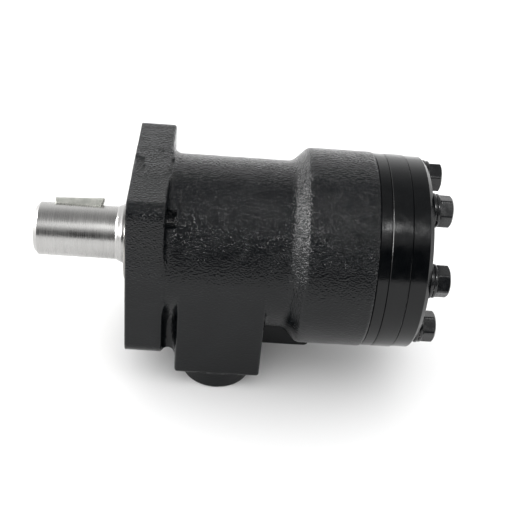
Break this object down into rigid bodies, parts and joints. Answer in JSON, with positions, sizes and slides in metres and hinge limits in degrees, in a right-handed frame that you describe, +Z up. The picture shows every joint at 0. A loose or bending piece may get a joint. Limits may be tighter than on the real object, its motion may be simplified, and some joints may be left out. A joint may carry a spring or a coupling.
{
  "type": "hydraulic motor",
  "caption": "Black hydraulic orbit motor: square flange, keyed steel shaft, cast neck with port block, stepped round body, gear ring and bolted end cover.",
  "frame": {"origin": "centre of the mounting flange's front face, on the shaft axis", "axes": "+X from the flange to the end cover along the shaft axis, +Z up, the two ports open toward -Z, +Y away from the camera"},
  "size_m": [0.1913, 0.094, 0.1079],
  "materials": {
    "black_paint_cast": "semi-gloss black paint over sand-cast iron",
    "black_paint_machined": "satin black paint over turned steel",
    "ground_steel": "ground, with fine turning marks",
    "key_steel": "dull grey",
    "plain_steel": "machined",
    "bearing_steel": "polished",
    "dark_steel": "hardened, oiled",
    "gear_steel": "ground faces",
    "black_bolt": "glossy black paint",
    "black_rubber": "matt",
    "brown_rubber": "matt",
    "brass_cage": "stamped",
    "copper_washer": "flat, annealed copper"
  },
  "bodies": {
    "housing": {"housing": "black_paint_cast", "dust_seal": "black_rubber", "shaft_seal": "brown_rubber", "seal_backing_ring": "plain_steel", "thrust_race_front": "bearing_steel", "distributor_plate": "black_paint_machined", "stator_ring": "black_paint_machined", "end_cover": "black_paint_machined", "oring_front": "black_rubber", "oring_middle": "black_rubber", "oring_rear": "black_rubber", "cover_bolts": "black_bolt", "flat_washers": "black_bolt", "sealing_washers": "black_bolt", "drain_plug": "plain_steel", "drain_washer": "copper_washer", "check_bushes": "plain_steel"},
    "shaft": {"output_shaft": "ground_steel", "woodruff_key": "key_steel", "thrust_race_rear": "bearing_steel"},
    "bearing_cage": {"thrust_cage": "brass_cage", "thrust_needles": "bearing_steel"},
    "orbit": {"link_stop_disc": "plain_steel"},
    "rotor": {"rotor": "gear_steel"},
    "link": {"drive_link": "dark_steel"},
    "ball_a": {"check_ball_a": "bearing_steel"},
    "ball_b": {"check_ball_b": "bearing_steel"}
  },
  "joints": [
    {"name": "shaft_spin", "type": "hinge", "parent": "housing", "child": "shaft", "pos_m": [0, 0, 0], "axis": [1, 0, 0], "continuous": true},
    {"name": "cage_spin", "type": "hinge", "parent": "housing", "child": "bearing_cage", "pos_m": [0.0135, 0, 0], "axis": [1, 0, 0], "continuous": true},
    {"name": "rotor_orbit", "type": "hinge", "parent": "housing", "child": "orbit", "pos_m": [0.1212, 0, 0], "axis": [1, 0, 0], "continuous": true},
    {"name": "rotor_spin", "type": "hinge", "parent": "orbit", "child": "rotor", "pos_m": [0.1212, 0.0001, 0.0032], "axis": [1, 0, 0], "continuous": true},
    {"name": "link_spin", "type": "hinge", "parent": "orbit", "child": "link", "pos_m": [0.063, 0, 0], "axis": [0.9984, 0.0018, 0.0562], "continuous": true},
    {"name": "check_a_lift", "type": "slide", "parent": "housing", "child": "ball_a", "axis": [1, 0, 0], "range_m": [0, 0.001]},
    {"name": "check_b_lift", "type": "slide", "parent": "housing", "child": "ball_b", "axis": [1, 0, 0], "range_m": [0, 0.001]}
  ],
  "couplings": [
    {"joint": "cage_spin", "follows": "shaft_spin", "ratio": 0.5},
    {"joint": "rotor_orbit", "follows": "shaft_spin", "ratio": -6},
    {"joint": "rotor_spin", "follows": "shaft_spin", "ratio": 7},
    {"joint": "link_spin", "follows": "shaft_spin", "ratio": 7}
  ]
}
